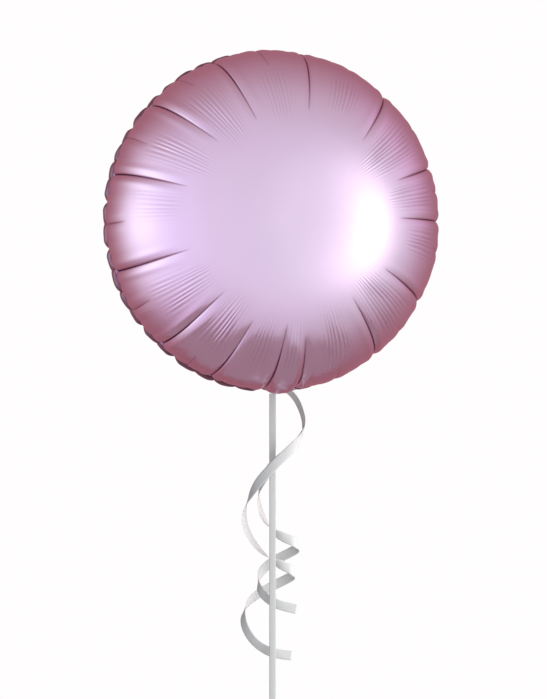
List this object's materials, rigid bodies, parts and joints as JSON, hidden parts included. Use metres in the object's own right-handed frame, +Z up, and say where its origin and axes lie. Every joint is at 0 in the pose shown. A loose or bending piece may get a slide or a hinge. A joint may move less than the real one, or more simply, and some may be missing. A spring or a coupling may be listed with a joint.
{
  "type": "foil balloon",
  "caption": "Round inflated foil balloon with a tied neck, two curled ribbons and a straight ribbon down to a hand loop.",
  "frame": {"origin": "centre of the hand loop at the ribbon's lower end", "axes": "+Z up along the straight ribbon, the balloon's front panel faces -Y, +X to its right seen from the front"},
  "size_m": [0.348, 0.2066, 0.7196],
  "materials": {
    "pink_foil": "satin",
    "valve_film": "satin",
    "straight_ribbon": "satin",
    "curling_ribbon": "satin"
  },
  "bodies": {
    "loop": {"hand_loop": "straight_ribbon"},
    "knot": {"loop_knot": "straight_ribbon"},
    "ribbon": {"straight_ribbon": "straight_ribbon"},
    "tie": {"tie_knot": "curling_ribbon"},
    "balloon": {"front_panel": "pink_foil", "back_panel": "pink_foil", "valve_front_film": "valve_film", "valve_back_film": "valve_film", "neck_wrap": "straight_ribbon"},
    "long_curl_ribbon": {"long_curl": "curling_ribbon"},
    "short_curl_ribbon": {"short_curl": "curling_ribbon"}
  },
  "joints": [
    {"name": "tether_nod", "type": "hinge", "parent": "loop", "child": "knot", "pos_m": [0, 0, 0.0165], "axis": [1, 0, 0], "range_deg": [-25, 25], "stiffness_Nm_per_rad": 0.2, "springref_deg": -1.59},
    {"name": "tether_sway", "type": "hinge", "parent": "knot", "child": "ribbon", "pos_m": [0, 0, 0.0165], "axis": [0, 1, 0], "range_deg": [-25, 25], "stiffness_Nm_per_rad": 0.2, "springref_deg": 0.39},
    {"name": "balloon_spin", "type": "hinge", "parent": "ribbon", "child": "tie", "pos_m": [0, 0, 0.3587], "axis": [0, 0, 1], "continuous": true},
    {"name": "balloon_lean", "type": "hinge", "parent": "tie", "child": "balloon", "pos_m": [0, 0, 0.3587], "axis": [1, 0, 0], "range_deg": [-30, 30], "stiffness_Nm_per_rad": 0.06, "springref_deg": -5.31},
    {"name": "long_curl_twirl", "type": "hinge", "parent": "tie", "child": "long_curl_ribbon", "pos_m": [0, 0, 0.3587], "axis": [0, 0, 1], "range_deg": [-35, 35]},
    {"name": "short_curl_twirl", "type": "hinge", "parent": "tie", "child": "short_curl_ribbon", "pos_m": [0, 0, 0.3587], "axis": [0, 0, 1], "range_deg": [-35, 35]}
  ],
  "couplings": [
    {"joint": "short_curl_twirl", "follows": "long_curl_twirl", "ratio": 1}
  ]
}
